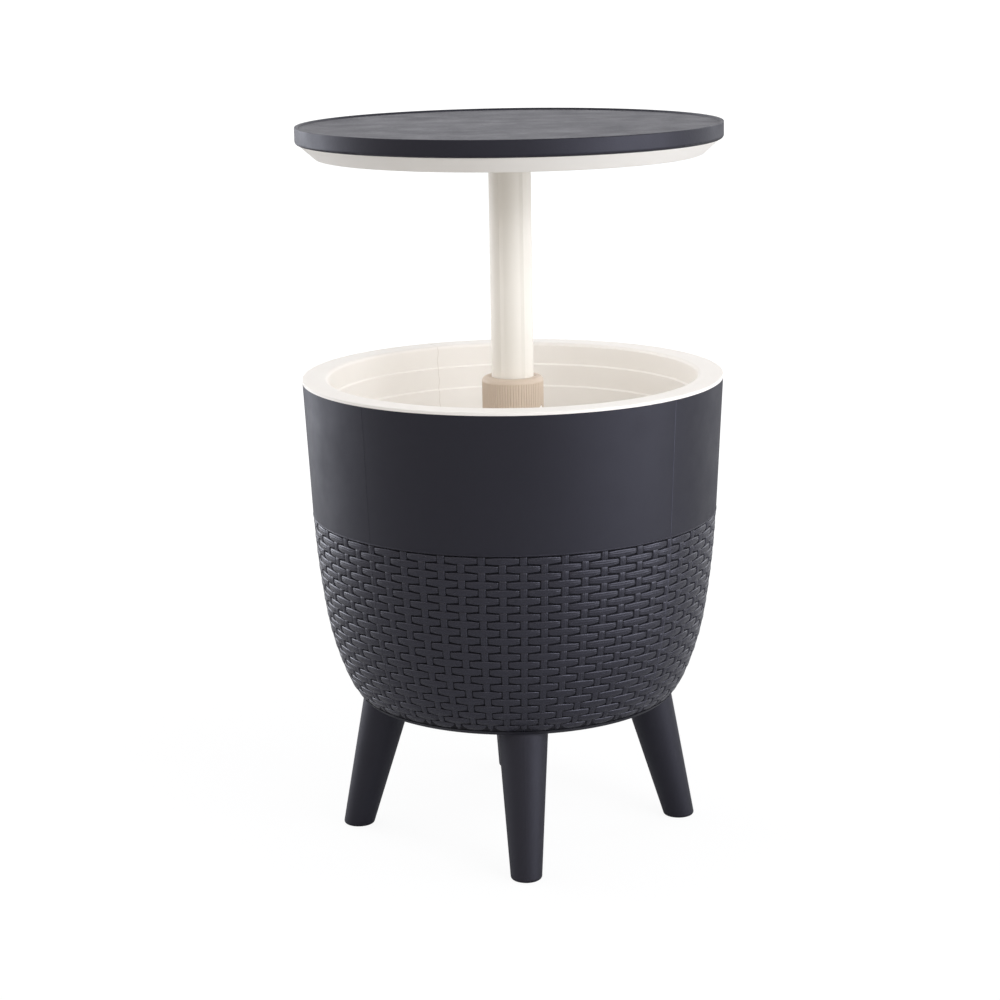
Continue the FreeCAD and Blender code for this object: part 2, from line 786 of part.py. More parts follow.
def columnScrews():
    body = newBody("column_screws", tubFloor + at.columnFlangeThickness)
    shank = at.columnScrewRadius
    head = shank * 2
    screw = revolve(body, "screw", [
        (zero, zero - at.columnScrewLength),
        (shank / 3, zero - at.columnScrewLength),
        (shank, shank - at.columnScrewLength),
        (shank, zero),
        (head, zero),
        (head, shank / 2),
        (head - shank / 2, shank),
        (zero, shank),
    ], shift=around(columnScrewCircle, at.postTurn))
    ring(body, "screws", [screw], at.columnScrewCount)
    return body


def guideBush():
    """Bearing in the column's mouth; two tongues on it run in the mast's keyways."""
    body = newBody("guide_bush", columnTop)
    inner = at.mastRadius + at.runningGap
    revolve(body, "sleeve", [
        (inner, zero - at.bushDepth),
        (columnBore, zero - at.bushDepth),
        (columnBore, zero),
        (columnRadius, zero),
        (columnRadius, at.bushFlange),
        (inner, at.bushFlange),
    ])
    tip = at.mastRadius - at.keywayDepth + at.keyPlay
    back = inner + at.runningGap
    half = at.keywayFloorAngle - at.keyPlayAngle
    tongue = extrude(body, "tongue", at.bushDepth + at.bushFlange, points=[
        (zero - tip * sine(half), zero - tip * cosine(half)),
        (tip * sine(half), zero - tip * cosine(half), tip),
        (back * sine(half), zero - back * cosine(half)),
        (zero - back * sine(half), zero - back * cosine(half), zero - back),
    ], shift=(0, 0, zero - at.bushDepth))
    ring(body, "tongues", [tongue], at.keywayCount)
    return body


def clampRing():
    """Split cone that the collar squeezes on the mast."""
    body = newBody("clamp_ring", columnTop + at.bushFlange)
    inner = at.mastRadius + at.runningGap * 2
    revolve(body, "cone", [
        (inner, zero),
        (inner + at.clampRingBottomWall, zero),
        (inner + at.clampRingTopWall, at.clampRingHeight),
        (inner, at.clampRingHeight),
    ])
    half = at.clampSlot / 2
    extrude(body, "slot", at.clampRingHeight, cut=True, points=[
        (zero - half, inner / 2),
        (half, inner / 2),
        (half, collarRadius),
        (zero - half, collarRadius),
    ])
    return body


def lockingCollar():
    body = newBody("locking_collar", collarBottom)
    lower = columnRadius + at.collarPlay
    groove = columnTop - at.beadDrop - collarBottom
    seat = columnTop + at.bushFlange - collarBottom
    inner = at.mastRadius + at.runningGap * 2
    coneLow = inner + at.clampRingBottomWall + at.collarPlay
    coneHigh = inner + at.clampRingTopWall + at.collarPlay
    coneTop = seat + at.clampRingHeight + at.collarPlay
    deep = at.beadWidth / 2 + at.collarPlay
    revolve(body, "sleeve", [
        (lower, zero),
        (collarRadius, zero),
        (collarRadius, at.collarHeight - at.collarShoulderDrop),
        (collarRadius - at.collarSlopeWidth, at.collarHeight, at.collarShoulderDrop * at.collarCrown),
        (at.mastRadius + at.collarPlay, at.collarHeight),
        (at.mastRadius + at.collarPlay, coneTop),
        (coneHigh, coneTop),
        (coneLow, seat + at.collarPlay / 2),
        (lower, seat + at.collarPlay / 2),
        (lower, groove + deep),
        (lower + at.beadHeight, groove + at.beadHeight),
        (lower + at.beadHeight, groove - at.beadHeight),
        (lower, groove - deep),
    ])
    ribTop = at.collarHeight - at.collarShoulderDrop - at.collarRibDepth
    half = at.collarRibWidth / 2
    bottom = collarRadius - at.collarRibDepth
    flute = extrude(body, "flute", ribTop - at.collarRibStart, cut=True, points=[
        (collarRadius + at.collarRibDepth, zero - half * at.collarRibFlare),
        (collarRadius + at.collarRibDepth, half * at.collarRibFlare),
        (bottom, half / 2),
        (bottom, zero - half / 2),
    ], shift=(0, 0, at.collarRibStart))
    ring(body, "flutes", [flute], at.collarRibCount)
    key = extrude(body, "keySlot", at.collarHeight, cut=True, shift=(0, 0, coneTop + at.collarPlay),
                  circles=[(at.mastRadius + at.collarKeyOffset, zero, at.collarKeyRadius)])
    ring(body, "keySlots", [key], at.keywayCount)

    # pointer notch in the lower edge
    sketch = newSketch(body, "pointerNotchOutline", "XZ_Plane", spin=at.collarNotchTurn)
    wide = at.collarNotchHalf
    drawOutline(sketch, [(zero - wide, zero - at.collarPlay), (wide, zero - at.collarPlay),
                         (zero, at.collarNotchHeight)])
    notch = body.newObject("PartDesign::Pocket", "pointerNotch")
    notch.Profile = sketch
    notch.Length = collarRadius.value
    notch.setExpression("Length", collarRadius.text)
    notch.Reversed = True
    body.Tip = notch
    return body


# The mast and its ends

def mastTube():
    body = newBody("mast_tube", mastBottom)
    length = mastTop - mastBottom
    revolve(body, "tube", box(at.mastRadius, zero, length, at.mastRadius - at.mastWall))
    floor = at.mastRadius - at.keywayDepth
    outside = at.mastRadius + at.keywayDepth
    narrow = at.keywayFloorAngle
    wide = at.keywayEdgeAngle
    across = at.mastRadius * sine(wide)
    edge = at.mastRadius * cosine(wide)
    keyway = extrude(body, "keyway", length, cut=True, points=[
        (zero - floor * sine(narrow), zero - floor * cosine(narrow)),
        (floor * sine(narrow), zero - floor * cosine(narrow), floor),
        (across, zero - edge),
        (across, zero - outside),
        (zero - across, zero - outside),
        (zero - across, zero - edge),
    ])
    ring(body, "keyways", [keyway], at.keywayCount)
    return body


def mastFoot():
    """Shoe on the mast's lower end that runs in the column and stops under the bush."""
    body = newBody("mast_foot", mastBottom)
    slide = columnBore - at.runningGap
    edge = at.footFloor / 4
    revolve(body, "shoe", [
        (at.mastRadius - at.mastWall * 2, zero - at.footFloor),
        (slide - edge, zero - at.footFloor),
        (slide, edge - at.footFloor),
        (slide, at.footCollarDepth),
        (at.mastRadius, at.footCollarDepth),
        (at.mastRadius, zero),
        (at.mastRadius - at.mastWall, zero),
        (at.mastRadius - at.mastWall, at.footCollarDepth / 2),
        (at.mastRadius - at.mastWall * 2, at.footCollarDepth / 2),
    ])
    return body


def mastHead():
    """Flanged socket in the lid that holds the top of the mast."""
    body = newBody("mast_head", panHeight + at.panWall)
    outer = at.mastRadius + at.headSocketWall
    top = at.headSocketDepth
    revolve(body, "socket", [
        (at.mastRadius, zero),
        (headFlange, zero),
        (headFlange, at.headFlangeThickness),
        (outer, at.headFlangeThickness),
        (outer, top + at.panWall),
        (zero, top + at.panWall),
        (zero, top),
        (at.mastRadius, top),
    ])
    roundEdges(body, "flangeRoot", at.panWall, [(outer, at.headFlangeThickness)])
    pilot = revolve(body, "pilot",
                    box(at.mastScrewRadius, zero - at.panWall, at.headFlangeThickness - at.mastPilotSkin),
                    cut=True, shift=around(mastScrewCircle, at.postTurn))
    ring(body, "pilots", [pilot], at.mastScrewCount)
    return body


def mastScrews():
    body = newBody("mast_screws", panHeight + at.mastScrewHeadHeight)
    length = at.panWall - at.mastScrewHeadHeight + at.headFlangeThickness - at.mastPilotSkin
    screw = revolve(body, "screw",
                    screwOutline(at.mastScrewRadius, at.mastScrewHead, at.mastScrewHeadHeight, length),
                    shift=around(mastScrewCircle, at.postTurn))
    ring(body, "screws", [screw], at.mastScrewCount)
    return body


# The lid

def lidPan():
    """White dish under the table top; its flat underside rests on the tub's rim when shut."""
    body = newBody("lid_pan", panHeight)
    wall = at.panWall
    seam = bandBottom - panHeight
    rim = topRadius - at.topSkirtWall - at.panRimGap
    bead = seam - at.panBeadDepth
    neck = rim - at.panBeadWidth
    revolve(body, "dish", [
        (at.mastRadius, zero),
        (panRadius, zero),
        (neck, bead),
        (rim, seam),
        (rim, seam + at.panRimHeight),
        (rim - wall, seam + at.panRimHeight),
        (rim - wall, seam),
        (neck - wall, bead + wall / 2),
        (panRadius - wall / 2, wall),
        (at.mastRadius, wall),
    ])
    roundEdges(body, "flatEdge", at.panEdgeRound, [(panRadius, zero)])
    holes = (
        ("mastScrew", mastScrewCircle, at.mastScrewRadius, at.mastScrewHead, at.mastScrewHeadHeight,
         at.mastScrewCount),
        ("lidScrew", lidScrewCircle, at.lidScrewRadius, at.lidScrewHead, at.lidScrewHeadHeight,
         at.lidScrewCount),
    )
    for name, circle, shank, head, depth, count in holes:
        seat = revolve(body, name + "Seat", [
            (zero, zero - wall),
            (head + at.screwPlay, zero - wall),
            (head + at.screwPlay, depth),
            (shank + at.screwPlay, depth),
            (shank + at.screwPlay, wall * 2),
            (zero, wall * 2),
        ], cut=True, shift=around(circle, at.postTurn))
        ring(body, name + "Seats", [seat], count)
    return body


def lidScrews():
    body = newBody("lid_screws", panHeight + at.lidScrewHeadHeight)
    screw = revolve(body, "screw",
                    screwOutline(at.lidScrewRadius, at.lidScrewHead, at.lidScrewHeadHeight,
                                 at.lidScrewLength),
                    shift=around(lidScrewCircle, at.postTurn))
    ring(body, "screws", [screw], at.lidScrewCount)
    return body


def tableTop():
    body = newBody("table_top", bandBottom)
    height = at.topEdgeDepth
    surface = height - at.topLipHeight
    plate = surface - at.topPlate
    inner = topRadius - at.topSkirtWall
    lip = topRadius - at.topLipWidth
    revolve(body, "top", [
        (inner, zero),
        (topRadius, at.topEdgeRound, at.topEdgeRound),
        (topRadius, height - at.topUpperRound),
        (topRadius - at.topUpperRound, height, at.topUpperRound),
        (lip, height),
        (lip - at.topLipHeight / 2, surface),
        (zero, surface),
        (zero, plate),
        (inner, plate),
    ])

    # stiffening ribs and screw bosses under the plate, hidden by the pan
    overlap = at.topPlate / 2
    half = at.topRibWidth / 2
    start = at.topRibStart - half
    rib = extrude(body, "rib", at.topRibDepth + overlap, points=[
        (start, zero - half),
        (inner - at.panWall * 3, zero - half),
        (inner - at.panWall * 3, half),
        (start, half),
    ], shift=(0, 0, plate + overlap), up=False)
    ring(body, "ribs", [rib], at.topRibCount)
    revolve(body, "hubRing", box(at.topRibStart, plate - at.topRibDepth, plate + overlap,
                                 at.topRibStart - at.topRibWidth))
    foot = panHeight + at.panWall - bandBottom
    bossPlace = around(lidScrewCircle, at.postTurn)
    boss = revolve(body, "boss", box(at.lidBossRadius, foot, plate + overlap), shift=bossPlace)
    ring(body, "bosses", [boss], at.lidScrewCount)
    reach = at.lidScrewLength - (at.panWall - at.lidScrewHeadHeight)
    pilot = revolve(body, "pilot", box(at.lidScrewRadius, foot - at.panWall, foot + reach),
                    cut=True, shift=bossPlace)
    ring(body, "pilots", [pilot], at.lidScrewCount)
    return body


# The drain: a flanged spout through both floors, its nut, gasket, cap and washer

def drainPiece(name, height, points):
    body = newBody(name, height)
    revolve(body, "turned", points, shift=around(at.drainCircle, at.drainTurn))
    return body


spoutBottom = at.bowlBaseHeight - at.drainTubeDrop
capBottom = spoutBottom - at.washerThickness - at.capFloor


def drainFitting():
    seat = tubFloor + at.drainGasketThickness
    top = at.drainFlangeThickness
    return drainPiece("drain_fitting", seat, [
        (at.drainBore, spoutBottom - seat),
        (at.drainTubeRadius, spoutBottom - seat),
        (at.drainTubeRadius, zero),
        (at.drainFlangeRadius, zero),
        (at.drainFlangeRadius, top / 2),
        (at.drainFlangeRadius - top / 2, top),
        (at.drainBore, top),
    ])


def drainGasket():
    return drainPiece("drain_gasket", tubFloor,
                      box(at.drainFlangeRadius - at.drainGasketInset, zero, at.drainGasketThickness,
                          at.drainTubeRadius))


def drainNut():
    """Six-sided nut that draws the spout down on the tub's floor from below."""
    body = newBody("drain_nut", tubFloor - at.tubWall - at.drainNutHeight)
    across = at.drainNutAcross / cosine(Size(30.0)) / 2
    x = at.drainCircle * cosine(at.drainTurn)
    y = at.drainCircle * sine(at.drainTurn)
    corners = []
    for number in range(6):
        angle = Size(60.0 * number)
        corners.append((x + across * cosine(angle), y + across * sine(angle)))
    extrude(body, "hexagon", at.drainNutHeight, points=corners)
    extrude(body, "bore", at.drainNutHeight, cut=True, circles=[(x, y, at.drainTubeRadius)])
    return body


def drainCap():
    thread = at.drainTubeRadius + at.fitGap
    body = drainPiece("drain_cap", capBottom, [
        (zero, zero),
        (at.capRadius - at.screwPlay * 3, zero),
        (at.capRadius, at.screwPlay * 3),
        (at.capRadius, at.capDepth),
        (thread, at.capDepth),
        (thread, at.capFloor),
        (zero, at.capFloor),
    ])
    x = at.drainCircle * cosine(at.drainTurn)
    y = at.drainCircle * sine(at.drainTurn)
    flutes = []
    for number in range(int(at.capRibCount.value)):
        angle = Size(360.0 * number / at.capRibCount.value)
        flutes.append((x + (at.capRadius + at.capRibRadius / 3) * cosine(angle),
                       y + (at.capRadius + at.capRibRadius / 3) * sine(angle), at.capRibRadius))
    extrude(body, "flutes", at.capDepth, cut=True, circles=flutes)
    return body


def capWasher():
    return drainPiece("cap_washer", capBottom + at.capFloor,
                      box(at.drainTubeRadius - at.fitGap, zero, at.washerThickness - at.fitGap))


pieces = [
    outerShell(),
    innerTub(),
    tubScrews(),
    *[leg(place, name) for place, name in enumerate(legNames)],
    legInserts(),
    guideColumn(),
    columnScrews(),
    guideBush(),
    clampRing(),
    lockingCollar(),
    mastTube(),
    mastFoot(),
    mastHead(),
    mastScrews(),
    lidPan(),
    lidScrews(),
    tableTop(),
    drainFitting(),
    drainGasket(),
    drainNut(),
    drainCap(),
    capWasher(),
]
doc.recompute()

for item in doc.Objects:
    if "Invalid" in item.State or "Error" in item.State:
        raise RuntimeError(f"{item.Name} failed: {item.State}")
os.makedirs("parts", exist_ok=True)
for piece in pieces:
    shape = piece.Shape
    if shape.isNull() or not shape.isValid() or not shape.Solids:
        raise RuntimeError(f"{piece.Label} has no valid solid")
    shape.exportStep(f"parts/{piece.Label}.step")
    print(piece.Label, len(shape.Solids), round(shape.Volume / 1000, 2), "cm3")
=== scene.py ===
import json
import math

import bpy
import numpy as np
from mathutils import Matrix, Vector


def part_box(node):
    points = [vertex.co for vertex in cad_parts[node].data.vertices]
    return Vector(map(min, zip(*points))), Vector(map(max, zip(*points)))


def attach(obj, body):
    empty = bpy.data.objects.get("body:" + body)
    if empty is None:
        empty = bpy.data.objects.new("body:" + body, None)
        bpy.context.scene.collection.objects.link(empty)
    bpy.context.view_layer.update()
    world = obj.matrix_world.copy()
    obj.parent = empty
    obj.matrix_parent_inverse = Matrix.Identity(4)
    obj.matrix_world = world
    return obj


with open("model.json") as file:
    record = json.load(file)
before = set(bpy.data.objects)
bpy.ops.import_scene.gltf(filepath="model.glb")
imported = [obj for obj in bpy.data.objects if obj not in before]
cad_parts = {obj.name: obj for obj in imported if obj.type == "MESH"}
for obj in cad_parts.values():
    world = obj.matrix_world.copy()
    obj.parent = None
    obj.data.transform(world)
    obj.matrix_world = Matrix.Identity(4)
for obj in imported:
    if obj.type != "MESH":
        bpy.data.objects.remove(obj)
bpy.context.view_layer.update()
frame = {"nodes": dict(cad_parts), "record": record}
scene = bpy.context.scene
mm = 0.001


# Camera, matched to the photograph

view = {
    "distance": 2.80978,    # level distance from the table's axis, metres
    "height": 1.05468,
    "lookDown": 13.063,     # degrees
    "roll": -0.957,
    "aside": -0.355,        # the axis stands a little left of the picture's middle
    "tableTurn": 2.080,     # the front leg is turned this far from the camera
    "lens": 86.79,
    "sensor": 36.0,
    "farClip": 200,
}


def turned(vector, degrees):
    return Matrix.Rotation(math.radians(degrees), 3, "Z") @ vector


def placeCamera():
    down = math.radians(view["lookDown"])
    roll = math.radians(view["roll"])
    level = turned(Vector((0, 1, 0)), -view["tableTurn"] - view["aside"])
    across = turned(Vector((1, 0, 0)), -view["tableTurn"] - view["aside"])
    up = Vector((0, 0, 1))
    forward = math.cos(down) * level - math.sin(down) * up
    raised = math.sin(down) * level + math.cos(down) * up
    right = math.cos(roll) * across + math.sin(roll) * raised
    top = -math.sin(roll) * across + math.cos(roll) * raised
    place = turned(Vector((0, -view["distance"], 0)), -view["tableTurn"])
    place.z = view["height"]
    camera = bpy.data.objects.new("camera", bpy.data.cameras.new("camera"))
    camera.data.lens = view["lens"]
    camera.data.sensor_width = view["sensor"]
    camera.data.sensor_fit = "HORIZONTAL"
    camera.data.clip_end = view["farClip"]
    axes = Matrix((right, top, -forward)).transposed()
    camera.matrix_world = Matrix.Translation(place) @ axes.to_4x4()
    scene.collection.objects.link(camera)
    scene.camera = camera


placeCamera()
scene.view_settings.view_transform = "Standard"
print("camera placed")


# Materials

noiseLow, noiseHigh = 0.3, 0.7      # a noise texture hardly leaves this range


def colour(hexValue):
    parts = [int(hexValue[i:i + 2], 16) / 255 for i in (1, 3, 5)]
    return [part / 12.92 if part <= 0.04045 else ((part + 0.055) / 1.055) ** 2.4
            for part in parts] + [1]


def addNode(tree, kind, inputs=None, **settings):
    node = tree.nodes.new(kind)
    for name, value in settings.items():
        setattr(node, name, value)
    for name, value in (inputs or {}).items():
        if isinstance(value, bpy.types.NodeSocket):
            tree.links.new(value, node.inputs[name])
        else:
            node.inputs[name].default_value = value
    return node


def newMaterial(name, finish):
    material = bpy.data.materials.new(name)
    material.use_nodes = True
    tree = material.node_tree
    for socket, value in finish.items():
        tree.nodes["Principled BSDF"].inputs[socket].default_value = value
    place = addNode(tree, "ShaderNodeTexCoord").outputs["Object"]
    return material, tree, place


def finished(material, tone, gloss, bump):
    tree = material.node_tree
    shader = tree.nodes["Principled BSDF"]
    tree.links.new(tone.outputs["Result"], shader.inputs["Base Color"])
    tree.links.new(gloss.outputs["Result"], shader.inputs["Roughness"])
    tree.links.new(bump.outputs["Normal"], shader.inputs["Normal"])
    return material


# Graphite polypropylene, moulded against a spark-eroded tool: an even fine grain that
# dulls the gloss and breaks highlights into soft patches. The pigment cools its sheen.
graphite = {
    "tone": "#0f0f16",
    "rubbed": "#14141b",        # a little lighter where the grain's ridges polish
    "sheen": "#eeecff",
    "shine": 0.6,
    "grain": 0.9,               # mm, coarser than the tool's 0.3 so that it shows
    "grainHeight": 0.035,       # mm
    "hollow": 0.35,             # share of the grain's height up to which it stays unrubbed
    "ridge": 0.65,              # and above which it is rubbed all over
    "topGrain": 3.4,            # the table top has a deeper leather grain, seen from the side
    "topGrainHeight": 0.6,
    "topRubbed": "#34343c",     # the ridges of its upper face are scuffed
    "edgeGrain": 0.2,           # share of its grain's height that the top's edge band keeps
    "edgeLean": 0.6,            # the upper face starts where a normal's Z passes this
    "faceLean": 0.9,
    "cloud": 45.0,              # mm, slow change of gloss
    "gloss": (0.44, 0.56),
    "groundShadeTone": "#060608",    # painted shade on the ground between the strands, where hardly any light falls
    "groundGloss": 0.95,
    "groundTop": 393.2,         # mm above the floor
    "groundFoot": 175.6,
}


def graphitePolypropylene(name, grainSize, grainHeight, tone=graphite["tone"],
                          rubbed=graphite["rubbed"], paintedGroundShade=False, topOnly=False):
    material, tree, place = newMaterial(name, {
        "IOR": 1.49, "Specular IOR Level": graphite["shine"],
        "Specular Tint": colour(graphite["sheen"])})
    grain = addNode(tree, "ShaderNodeTexNoise", {
        "Vector": place, "Scale": 1 / (grainSize * mm), "Detail": 2.0, "Roughness": 0.6})
    cloud = addNode(tree, "ShaderNodeTexNoise", {
        "Vector": place, "Scale": 1 / (graphite["cloud"] * mm), "Detail": 3.0, "Roughness": 0.55})
    ridges = addNode(tree, "ShaderNodeMapRange", {
        "Value": grain.outputs["Fac"], "From Min": graphite["hollow"],
        "From Max": graphite["ridge"]})
    mixed = addNode(tree, "ShaderNodeMix", {
        "Factor": ridges.outputs["Result"], "A": colour(tone), "B": colour(rubbed)},
        data_type="RGBA")
    low, high = graphite["gloss"]
    gloss = addNode(tree, "ShaderNodeMapRange", {
        "Value": cloud.outputs["Fac"], "From Min": noiseLow, "From Max": noiseHigh,
        "To Min": low, "To Max": high})
    bump = addNode(tree, "ShaderNodeBump", {
        "Height": grain.outputs["Fac"], "Distance": grainHeight * mm, "Strength": 1.0})
    if topOnly:
        normal = addNode(tree, "ShaderNodeNewGeometry").outputs["Normal"]
        parts = addNode(tree, "ShaderNodeSeparateXYZ", {"Vector": normal})
        topFace = addNode(tree, "ShaderNodeMapRange", {
            "Value": parts.outputs["Z"], "From Min": graphite["edgeLean"],
            "From Max": graphite["faceLean"]})
        strength = addNode(tree, "ShaderNodeMapRange", {
            "Value": topFace.outputs["Result"], "To Min": graphite["edgeGrain"]})
        tree.links.new(strength.outputs["Result"], bump.inputs["Strength"])
        mixed = addNode(tree, "ShaderNodeMix", {
            "Factor": topFace.outputs["Result"], "A": colour(tone),
            "B": mixed.outputs["Result"]}, data_type="RGBA")
    # Painted shade: over the woven field's height the shell's ground is coloured near black and
    # made rough, for the shade between the strands.
    if paintedGroundShade:
        parts = addNode(tree, "ShaderNodeSeparateXYZ", {"Vector": place})
        middle = (graphite["groundTop"] + graphite["groundFoot"]) / 2
        ground = addNode(tree, "ShaderNodeMath", {
            0: parts.outputs["Z"], 1: middle * mm, 2: (graphite["groundTop"] - middle) * mm},
            operation="COMPARE")
        mixed = addNode(tree, "ShaderNodeMix", {
            "Factor": ground.outputs[0], "A": mixed.outputs["Result"],
            "B": colour(graphite["groundShadeTone"])}, data_type="RGBA")
        gloss = addNode(tree, "ShaderNodeMapRange", {
            "Value": ground.outputs[0], "To Min": gloss.outputs["Result"],
            "To Max": graphite["groundGloss"]})
    return finished(material, mixed, gloss, bump)


# The same polypropylene in the woven field. The tool's strands are cut as split cane and
# polished after it: fine flutes run along each one, and they shine more than the band.
cane = {
    "tone": "#0e0e14",
    "bright": "#24242c",
    "shine": 0.72,
    "acrossGrain": 1.5,         # mm, as coarse as it needs to show
    "alongGrain": 9.0,
    "sway": 2.2,                # mm, the flutes wander this much
    "swaySize": 11.0,
    "grainHeight": 0.17,
    "uprightShare": 0.35,       # the stakes were worn smoother
    "gloss": (0.22, 0.44),
    "bowlRadius": 225.0,        # mm, for lengths round the table
}


def canePolypropylene(name, upright):
    material, tree, place = newMaterial(name, {
        "IOR": 1.49, "Specular IOR Level": cane["shine"],
        "Specular Tint": colour(graphite["sheen"])})
    acrossScale = 1 / (cane["acrossGrain"] * mm)
    alongScale = 1 / (cane["alongGrain"] * mm)
    levelScale, uprightScale = (acrossScale, alongScale) if upright else (alongScale, acrossScale)
    grainHeight = cane["grainHeight"] * (cane["uprightShare"] if upright else 1)
    parts = addNode(tree, "ShaderNodeSeparateXYZ", {"Vector": place})
    turn = addNode(tree, "ShaderNodeMath", {
        0: parts.outputs["Y"], 1: parts.outputs["X"]}, operation="ARCTAN2")
    level = addNode(tree, "ShaderNodeMath", {
        0: turn.outputs[0], 1: cane["bowlRadius"] * mm * levelScale}, operation="MULTIPLY")
    height = addNode(tree, "ShaderNodeMath", {
        0: parts.outputs["Z"], 1: uprightScale}, operation="MULTIPLY")
    if not upright:
        sway = addNode(tree, "ShaderNodeTexNoise", {
            "Vector": place, "Scale": 1 / (cane["swaySize"] * mm), "Detail": 1.0})
        height = addNode(tree, "ShaderNodeMath", {
            0: sway.outputs["Fac"], 1: cane["sway"] * mm * uprightScale, 2: height.outputs[0]},
            operation="MULTIPLY_ADD")
    flutes = addNode(tree, "ShaderNodeCombineXYZ", {
        "X": level.outputs[0], "Y": height.outputs[0]})
    streak = addNode(tree, "ShaderNodeTexNoise", {
        "Vector": flutes.outputs["Vector"], "Scale": 1.0, "Detail": 2.0, "Roughness": 0.5},
        noise_dimensions="2D")
    tone = addNode(tree, "ShaderNodeMix", {
        "Factor": streak.outputs["Fac"], "A": colour(cane["tone"]), "B": colour(cane["bright"])},
        data_type="RGBA")
    low, high = cane["gloss"]
    gloss = addNode(tree, "ShaderNodeMapRange", {
        "Value": streak.outputs["Fac"], "From Min": noiseLow, "From Max": noiseHigh,
        "To Min": high, "To Max": low})
    bump = addNode(tree, "ShaderNodeBump", {
        "Height": streak.outputs["Fac"], "Distance": grainHeight * mm, "Strength": 1.0})
    return finished(material, tone, gloss, bump)


# Pale polypropylenes, acetal and rubber, moulded against stone-finished steel: the skin is
# satin, with a faint orange peel and slow patches where the melt cooled unevenly.
whiteResin = {"tone": "#faf6ef", "patch": "#f8f3ec", "gloss": (0.44, 0.54), "shine": 0.35,
              "peel": 1.4, "peelHeight": 0.012}     # mm
mastShadedResin = dict(whiteResin, tone="#eae5dc", patch="#e7e2d8", shine=0.25)   # painted shade: a darker copy of the white resin, with less shine
taupeResin = {"tone": "#d3c2b0", "patch": "#cab9a7", "gloss": (0.48, 0.6), "shine": 0.35,
              "peel": 0.9, "peelHeight": 0.02}
acetalResin = {"tone": "#e9e7e1", "patch": "#e4e1d9", "gloss": (0.28, 0.36), "shine": 0.5,
               "peel": 0.7, "peelHeight": 0.006}
greyResin = {"tone": "#47474a", "patch": "#3f3f43", "gloss": (0.42, 0.56), "shine": 0.5,
             "peel": 0.9, "peelHeight": 0.03}
rubberSkin = {"tone": "#141414", "patch": "#1d1d1c", "gloss": (0.62, 0.8), "shine": 0.4,
              "peel": 0.8, "peelHeight": 0.04}
patchSize = 38.0                # mm, the slow patches


def mouldedSkin(name, skin, ior):
    material, tree, place = newMaterial(name, {"IOR": ior, "Specular IOR Level": skin["shine"]})
    patch = addNode(tree, "ShaderNodeTexNoise", {
        "Vector": place, "Scale": 1 / (patchSize * mm), "Detail": 3.0, "Roughness": 0.5})
    peel = addNode(tree, "ShaderNodeTexNoise", {
        "Vector": place, "Scale": 1 / (skin["peel"] * mm), "Detail": 1.0, "Roughness": 0.5})
    tone = addNode(tree, "ShaderNodeMix", {
        "Factor": patch.outputs["Fac"], "A": colour(skin["tone"]), "B": colour(skin["patch"])},
        data_type="RGBA")
    low, high = skin["gloss"]
    gloss = addNode(tree, "ShaderNodeMapRange", {
        "Value": patch.outputs["Fac"], "From Min": noiseLow, "From Max": noiseHigh,
        "To Min": low, "To Max": high})
    bump = addNode(tree, "ShaderNodeBump", {
        "Height": peel.outputs["Fac"], "Distance": skin["peelHeight"] * mm, "Strength": 1.0})
    return finished(material, tone, gloss, bump)


# Stainless steel screws, cold headed and thread rolled: fine rings round the screw's axis
# smear the highlight, and the flats are a little duller than the thread's flanks.
screwSteel = {
    "tone": "#bdbdb9",
    "dull": "#a9a9a6",
    "gloss": (0.2, 0.38),
    "ring": 0.35,               # mm
    "ringHeight": 0.01,
}


def stainlessSteel():
    material, tree, place = newMaterial("stainlessSteel", {"Metallic": 1.0})
    parts = addNode(tree, "ShaderNodeSeparateXYZ", {"Vector": place})
    rings = addNode(tree, "ShaderNodeTexNoise", {
        "W": parts.outputs["Z"], "Scale": 1 / (screwSteel["ring"] * mm), "Detail": 2.0},
        noise_dimensions="1D")
    tone = addNode(tree, "ShaderNodeMix", {
        "Factor": rings.outputs["Fac"], "A": colour(screwSteel["tone"]),
        "B": colour(screwSteel["dull"])}, data_type="RGBA")
    low, high = screwSteel["gloss"]
    gloss = addNode(tree, "ShaderNodeMapRange", {
        "Value": rings.outputs["Fac"], "From Min": noiseLow, "From Max": noiseHigh,
        "To Min": low, "To Max": high})
    bump = addNode(tree, "ShaderNodeBump", {
        "Height": rings.outputs["Fac"], "Distance": screwSteel["ringHeight"] * mm, "Strength": 1.0})
    return finished(material, tone, gloss, bump)


finishes = {
    "dark_resin": graphitePolypropylene(
        "graphitePolypropylene", graphite["grain"], graphite["grainHeight"]),
    "white_resin": mouldedSkin("whitePolypropylene", whiteResin, 1.49),
    "taupe_resin": mouldedSkin("taupePolypropylene", taupeResin, 1.49),
    "acetal": mouldedSkin("acetal", acetalResin, 1.48),
    "grey_resin": mouldedSkin("greyPolypropylene", greyResin, 1.49),
    "rubber_seal": mouldedSkin("epdmRubber", rubberSkin, 1.52),
    "screw_steel": stainlessSteel(),
}
ownFinishes = {
    # the mast takes the white resin with painted shade
    "mast_tube": mouldedSkin("mastShadedPolypropylene", mastShadedResin, 1.49),
    # the shell's ground carries painted shade
    "outer_shell": graphitePolypropylene(
        "graphiteShell", graphite["grain"], graphite["grainHeight"], paintedGroundShade=True),
    "table_top": graphitePolypropylene(
        "graphiteLeatherGrain", graphite["topGrain"], graphite["topGrainHeight"],
        rubbed=graphite["topRubbed"], topOnly=True),
}
for row in frame["record"]["subparts"]:
    for slot in frame["nodes"][row["node"]].material_slots:
        slot.material = ownFinishes.get(row["node"], finishes[row["material_slot"]])
print("materials on the moulded pieces")


# Pieces in mesh code

sharpAngle = 40     # degrees, a fold over this is shaded as an edge


